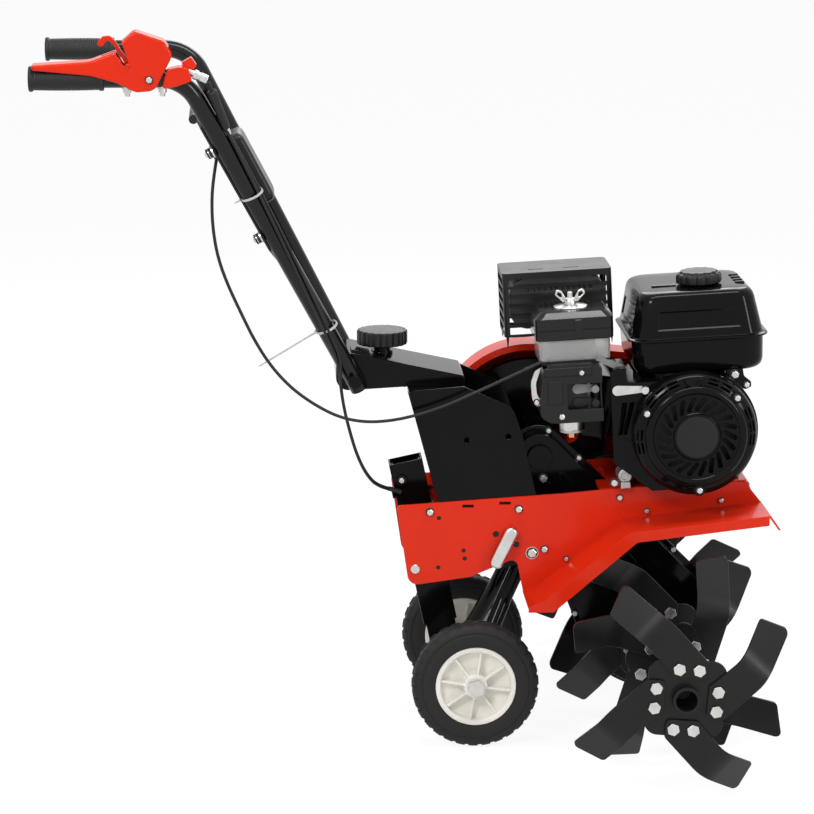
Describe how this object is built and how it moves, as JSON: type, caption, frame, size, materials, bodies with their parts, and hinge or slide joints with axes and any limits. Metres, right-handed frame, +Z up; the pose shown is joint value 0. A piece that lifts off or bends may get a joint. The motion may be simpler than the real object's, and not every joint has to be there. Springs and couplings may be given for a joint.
{
  "type": "garden_tiller",
  "caption": "Walk-behind petrol garden tiller with bent sickle tines, chain and belt drive, swing-up transport wheels and tilting handlebar",
  "frame": {"origin": "Middle of the machine's length and width, on the ground under its wheels and tine tips", "axes": "+X runs to the front, towards the tines and engine; +Y to the machine's left, away from the viewer; +Z up"},
  "size_m": [1.1414, 0.892, 1.1347],
  "materials": {
    "red_paint": "gloss",
    "black_paint": "gloss",
    "tine_paint": "satin",
    "grey_paint": "satin",
    "silver_steel": "satin",
    "dark_steel": "satin",
    "cast_aluminium": "satin",
    "ivory_plastic": "satin",
    "tyre_rubber": "matte",
    "black_rubber": "matte",
    "black_plastic": "matte",
    "smoky_bowl": "gloss"
  },
  "bodies": {
    "chassis": {"chain_case_right": "black_paint", "chain_case_left": "black_paint", "drive_chain": "dark_steel", "drive_belt": "black_rubber", "belt_cover": "red_paint", "side_plate_right": "red_paint", "side_plate_left": "red_paint", "engine_bed": "red_paint", "handle_support": "black_paint", "handle_beam": "black_paint", "handle_pivot_rod": "silver_steel", "stake_guide": "black_paint", "frame_bolts": "silver_steel", "crankcase": "cast_aluminium", "cylinder": "cast_aluminium", "fan_shroud": "black_paint", "engine_bolts": "silver_steel", "recoil_starter": "black_plastic", "fuel_tank": "black_paint", "air_cleaner_bowl": "smoky_bowl", "air_cleaner_body": "black_plastic", "control_cover": "black_plastic", "carburettor": "cast_aluminium", "muffler": "dark_steel", "muffler_guard": "black_paint", "throttle_cable": "black_rubber"},
    "handlebar": {"handle_tubes": "black_paint", "grips": "black_rubber", "console_panel": "grey_paint", "control_box": "black_plastic", "lever_bracket": "red_paint", "clutch_cables": "black_rubber"},
    "clutch_lever": {"clutch_lever": "red_paint"},
    "lever_lock": {"lever_lock": "red_paint"},
    "knob": {"knob": "black_plastic"},
    "tines": {"tine_shaft": "dark_steel", "tine_sprocket": "dark_steel", "tine_hubs": "tine_paint", "tine_blades": "tine_paint", "tine_bolts": "silver_steel"},
    "input_drive": {"input_shaft": "dark_steel", "driven_pulley": "dark_steel"},
    "crank": {"crankshaft": "dark_steel", "flywheel": "dark_steel", "engine_pulley": "dark_steel"},
    "idler_arm": {"idler_arm": "dark_steel"},
    "idler_pulley": {"idler_pulley": "silver_steel"},
    "carriage": {"carriage": "black_paint", "wheel_stubs": "silver_steel"},
    "wheel_right": {"rim_right": "ivory_plastic", "tyre_right": "tyre_rubber"},
    "wheel_left": {"rim_left": "ivory_plastic", "tyre_left": "tyre_rubber"},
    "clamp_lever": {"clamp_lever": "silver_steel"},
    "depth_stake": {"depth_stake": "black_paint"},
    "choke_lever": {"choke_lever": "black_plastic"},
    "fuel_lever": {"fuel_lever": "black_plastic"},
    "throttle_lever": {"throttle_lever": "silver_steel"},
    "tank_cap": {"tank_cap": "black_plastic"},
    "wing_nut": {"wing_nut": "silver_steel"}
  },
  "joints": [
    {"name": "handle_tilt", "type": "hinge", "parent": "chassis", "child": "handlebar", "pos_m": [-0.08471, 0, 0.577], "axis": [0, 1, 0], "range_deg": [-12, 12], "deforming": ["throttle_cable", "clutch_cables"]},
    {"name": "clutch_squeeze", "type": "hinge", "parent": "handlebar", "child": "clutch_lever", "pos_m": [-0.39171, -0.217, 1.064], "axis": [0, 1, 0], "range_deg": [0, 22]},
    {"name": "lock_turn", "type": "hinge", "parent": "clutch_lever", "child": "lever_lock", "pos_m": [-0.42272, -0.217, 1.0855], "axis": [0, 1, 0], "range_deg": [0, 25]},
    {"name": "knob_turn", "type": "hinge", "parent": "chassis", "child": "knob", "pos_m": [-0.03771, 0, 0.626], "axis": [0, 0, 1], "continuous": true},
    {"name": "tine_spin", "type": "hinge", "parent": "chassis", "child": "tines", "pos_m": [0.39428, 0, 0.15958], "axis": [0, 1, 0], "continuous": true},
    {"name": "input_spin", "type": "hinge", "parent": "chassis", "child": "input_drive", "pos_m": [0.21129, 0, 0.437], "axis": [0, 1, 0], "continuous": true},
    {"name": "crank_spin", "type": "hinge", "parent": "chassis", "child": "crank", "pos_m": [0.43936, 0, 0.50313], "axis": [0, 1, 0], "continuous": true},
    {"name": "idler_swing", "type": "hinge", "parent": "chassis", "child": "idler_arm", "pos_m": [0.32728, 0.119, 0.386], "axis": [0, 1, 0], "range_deg": [0, 9]},
    {"name": "idler_spin", "type": "hinge", "parent": "idler_arm", "child": "idler_pulley", "pos_m": [0.40958, 0.152, 0.403], "axis": [0, 1, 0], "continuous": true},
    {"name": "carriage_swing", "type": "hinge", "parent": "chassis", "child": "carriage", "pos_m": [0.19329, 0, 0.3], "axis": [0, 1, 0], "range_deg": [0, 45]},
    {"name": "wheel_right_spin", "type": "hinge", "parent": "carriage", "child": "wheel_right", "pos_m": [0.10129, -0.145, 0.1], "axis": [0, 1, 0], "continuous": true},
    {"name": "wheel_left_spin", "type": "hinge", "parent": "carriage", "child": "wheel_left", "pos_m": [0.10129, 0.145, 0.1], "axis": [0, 1, 0], "continuous": true},
    {"name": "clamp_turn", "type": "hinge", "parent": "chassis", "child": "clamp_lever", "pos_m": [0.15929, -0.116, 0.334], "axis": [0, 1, 0], "range_deg": [-30, 60]},
    {"name": "stake_slide", "type": "slide", "parent": "chassis", "child": "depth_stake", "axis": [-0.2079, 0, 0.9781], "range_m": [-0.08, 0.1]},
    {"name": "choke_turn", "type": "hinge", "parent": "chassis", "child": "choke_lever", "pos_m": [0.25862, -0.134, 0.56976], "axis": [0, 1, 0], "range_deg": [-40, 0]},
    {"name": "fuel_turn", "type": "hinge", "parent": "chassis", "child": "fuel_lever", "pos_m": [0.25977, -0.134, 0.5478], "axis": [0, 1, 0], "range_deg": [0, 30]},
    {"name": "throttle_turn", "type": "hinge", "parent": "chassis", "child": "throttle_lever", "pos_m": [0.31922, -0.15, 0.56944], "axis": [0, 1, 0], "range_deg": [-25, 0]},
    {"name": "cap_turn", "type": "hinge", "parent": "chassis", "child": "tank_cap", "pos_m": [0.4556, -0.06, 0.72829], "axis": [-0.0523, 0, 0.9986], "continuous": true},
    {"name": "wing_nut_turn", "type": "hinge", "parent": "chassis", "child": "wing_nut", "pos_m": [0.2514, -0.08, 0.70758], "axis": [-0.0523, 0, 0.9986], "continuous": true}
  ],
  "couplings": [
    {"joint": "input_spin", "follows": "tine_spin", "ratio": 3.5},
    {"joint": "idler_swing", "follows": "clutch_squeeze", "ratio": 0.40909}
  ]
}
